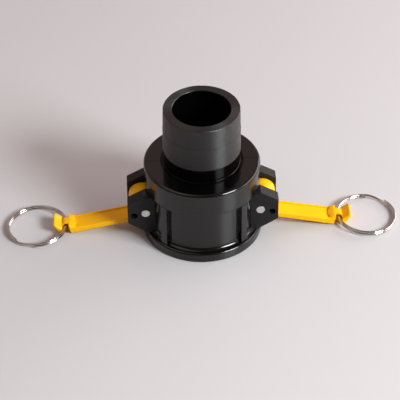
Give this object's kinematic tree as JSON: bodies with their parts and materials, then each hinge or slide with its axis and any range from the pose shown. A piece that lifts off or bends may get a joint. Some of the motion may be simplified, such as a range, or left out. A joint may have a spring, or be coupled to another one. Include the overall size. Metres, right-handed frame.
{
  "type": "camlock coupling",
  "caption": "Moulded camlock hose coupler standing on its mouth, with a plain hose tail, two hinged cam arms lying open and a split finger ring on each arm.",
  "frame": {"origin": "centre of the mouth face, on the coupling's axis", "axes": "+Z along the axis, from the mouth toward the hose tail. +X toward the right arm. Y is the direction of the pivot pins"},
  "size_m": [0.272, 0.0826, 0.1006],
  "materials": {
    "body_plastic": "glossy moulded polypropylene, satin where the tail is turned",
    "gasket_rubber": "matt",
    "pin_steel": "plain turned steel",
    "arm_plastic": "moulded nylon, soft gloss",
    "ring_wire": "bright nickel plate"
  },
  "bodies": {
    "coupler": {"coupler_body": "body_plastic", "gasket": "gasket_rubber", "pivot_pin_left": "pin_steel", "pivot_pin_right": "pin_steel"},
    "arm_left": {"cam_arm_left": "arm_plastic"},
    "arm_right": {"cam_arm_right": "arm_plastic"},
    "ring_left": {"finger_ring_left": "ring_wire"},
    "ring_right": {"finger_ring_right": "ring_wire"}
  },
  "joints": [
    {"name": "arm_left_pivot", "type": "hinge", "parent": "coupler", "child": "arm_left", "pos_m": [-0.0394, 0, 0.024], "axis": [0, 1, 0], "range_deg": [-25, 110]},
    {"name": "arm_right_pivot", "type": "hinge", "parent": "coupler", "child": "arm_right", "pos_m": [0.0394, 0, 0.024], "axis": [0, -1, 0], "range_deg": [-25, 110]},
    {"name": "ring_left_swing", "type": "hinge", "parent": "arm_left", "child": "ring_left", "pos_m": [-0.09487, 0, 0.00392], "axis": [0, 1, 0], "range_deg": [-170, 25]},
    {"name": "ring_right_swing", "type": "hinge", "parent": "arm_right", "child": "ring_right", "pos_m": [0.09487, 0, 0.00392], "axis": [0, -1, 0], "range_deg": [-170, 25]}
  ]
}
